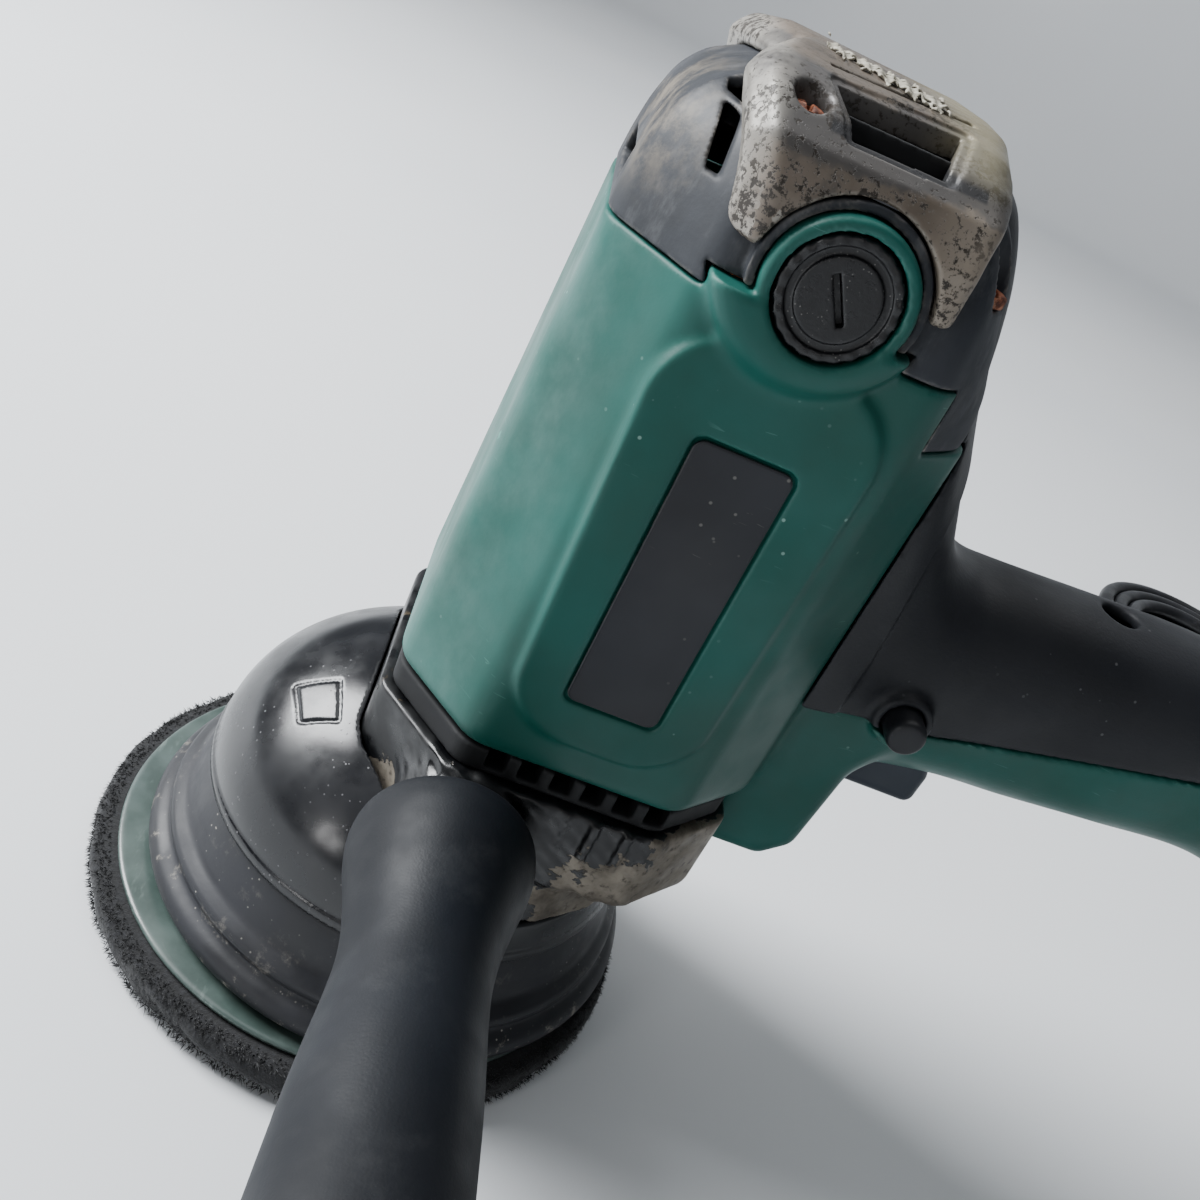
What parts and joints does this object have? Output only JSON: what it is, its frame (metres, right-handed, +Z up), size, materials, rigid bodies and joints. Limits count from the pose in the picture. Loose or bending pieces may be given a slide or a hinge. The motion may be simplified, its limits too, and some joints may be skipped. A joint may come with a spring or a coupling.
{
  "type": "dual action polisher",
  "caption": "Corded geared dual action polisher with a vertical motor, a side handle, a rear handle and a round hook-and-loop pad, standing on its pad.",
  "frame": {"origin": "centre of the pad's flat face, where the tool stands", "axes": "+Z up along the motor, +X towards the rear handle, -Y towards the side handle"},
  "size_m": [0.5601, 0.5734, 0.2067],
  "materials": {
    "green_shell": "matte",
    "dark_shell": "matte",
    "worn_grey_shell": "matte",
    "beige_bumper": "satin",
    "black_plastic": "satin",
    "gloss_black": "gloss",
    "skirt_rubber": "matte",
    "grip_rubber": "matte",
    "case_metal": "satin",
    "plate_plastic": "satin",
    "pad_foam": "matte",
    "cord_rubber": "satin",
    "brass": "satin",
    "copper": "satin",
    "carbon": "matte",
    "rusty_steel": "matte",
    "steel": "satin"
  },
  "bodies": {
    "body": {"motor_housing": "green_shell", "handle_cover": "dark_shell", "end_cover": "worn_grey_shell", "top_bumper": "beige_bumper", "label_plate_front": "black_plastic", "label_plate_back": "black_plastic", "end_cover_screw_1": "rusty_steel", "end_cover_screw_2": "rusty_steel", "end_cover_screw_3": "rusty_steel", "end_cover_screw_4": "rusty_steel", "handle_screw_1": "steel", "handle_screw_2": "steel", "gear_case": "case_metal", "bearing_plate": "dark_shell", "spindle_hood": "gloss_black", "rubber_skirt": "skirt_rubber", "ring_gear": "steel", "spindle_bearing_lower": "steel", "spindle_bearing_upper": "steel", "side_handle_grip": "grip_rubber", "side_handle_stud": "steel", "spare_boss_plug": "steel", "stator_core": "steel", "field_coil_left": "copper", "field_coil_right": "copper", "motor_bearing_lower": "steel", "motor_bearing_upper": "steel", "carbon_brush_front": "carbon", "brush_holder_front": "brass", "brush_spring_front": "steel", "brush_cap_front": "black_plastic", "carbon_brush_back": "carbon", "brush_holder_back": "brass", "brush_spring_back": "steel", "brush_cap_back": "black_plastic", "trigger_spring": "steel", "switch_body": "dark_shell", "speed_controller": "dark_shell", "cord_strain_relief": "cord_rubber", "power_cord": "cord_rubber", "cord_coil": "cord_rubber", "cord_tail": "cord_rubber", "plug_body": "cord_rubber", "plug_pin_right": "brass", "plug_pin_left": "brass"},
    "spindle": {"output_spindle": "steel", "counterweight": "steel", "spindle_gear": "steel", "pad_bearing": "steel"},
    "pad": {"pad_shaft": "steel", "planet_gear": "steel", "backing_plate": "plate_plastic", "hook_pad": "pad_foam"},
    "armature": {"armature_shaft": "steel", "armature_core": "steel", "commutator": "copper", "cooling_fan": "dark_shell", "pinion_gear": "steel"},
    "trigger_lever": {"trigger": "dark_shell"},
    "lock": {"lock_button": "dark_shell"}
  },
  "joints": [
    {"name": "spindle_spin", "type": "hinge", "parent": "body", "child": "spindle", "pos_m": [0.0045, 0, 0.05], "axis": [0, 0, 1], "continuous": true},
    {"name": "pad_spin", "type": "hinge", "parent": "spindle", "child": "pad", "pos_m": [0, 0, 0.02], "axis": [0, 0, 1], "continuous": true},
    {"name": "armature_spin", "type": "hinge", "parent": "body", "child": "armature", "pos_m": [0.0235, 0, 0.13], "axis": [0, 0, 1], "continuous": true},
    {"name": "trigger_pull", "type": "hinge", "parent": "body", "child": "trigger_lever", "pos_m": [0.083, 0, 0.0955], "axis": [0, -1, 0], "range_deg": [0, 9], "stiffness_Nm_per_rad": 0.6, "springref_deg": -6.88, "deforming": ["trigger_spring"]},
    {"name": "lock_button_press", "type": "slide", "parent": "body", "child": "lock", "axis": [0, 1, 0], "range_m": [0, 0.0025], "stiffness_N_per_m": 400, "springref_m": -0.002}
  ],
  "couplings": [
    {"joint": "pad_spin", "follows": "spindle_spin", "ratio": -1.3333},
    {"joint": "armature_spin", "follows": "spindle_spin", "ratio": -2.8}
  ]
}
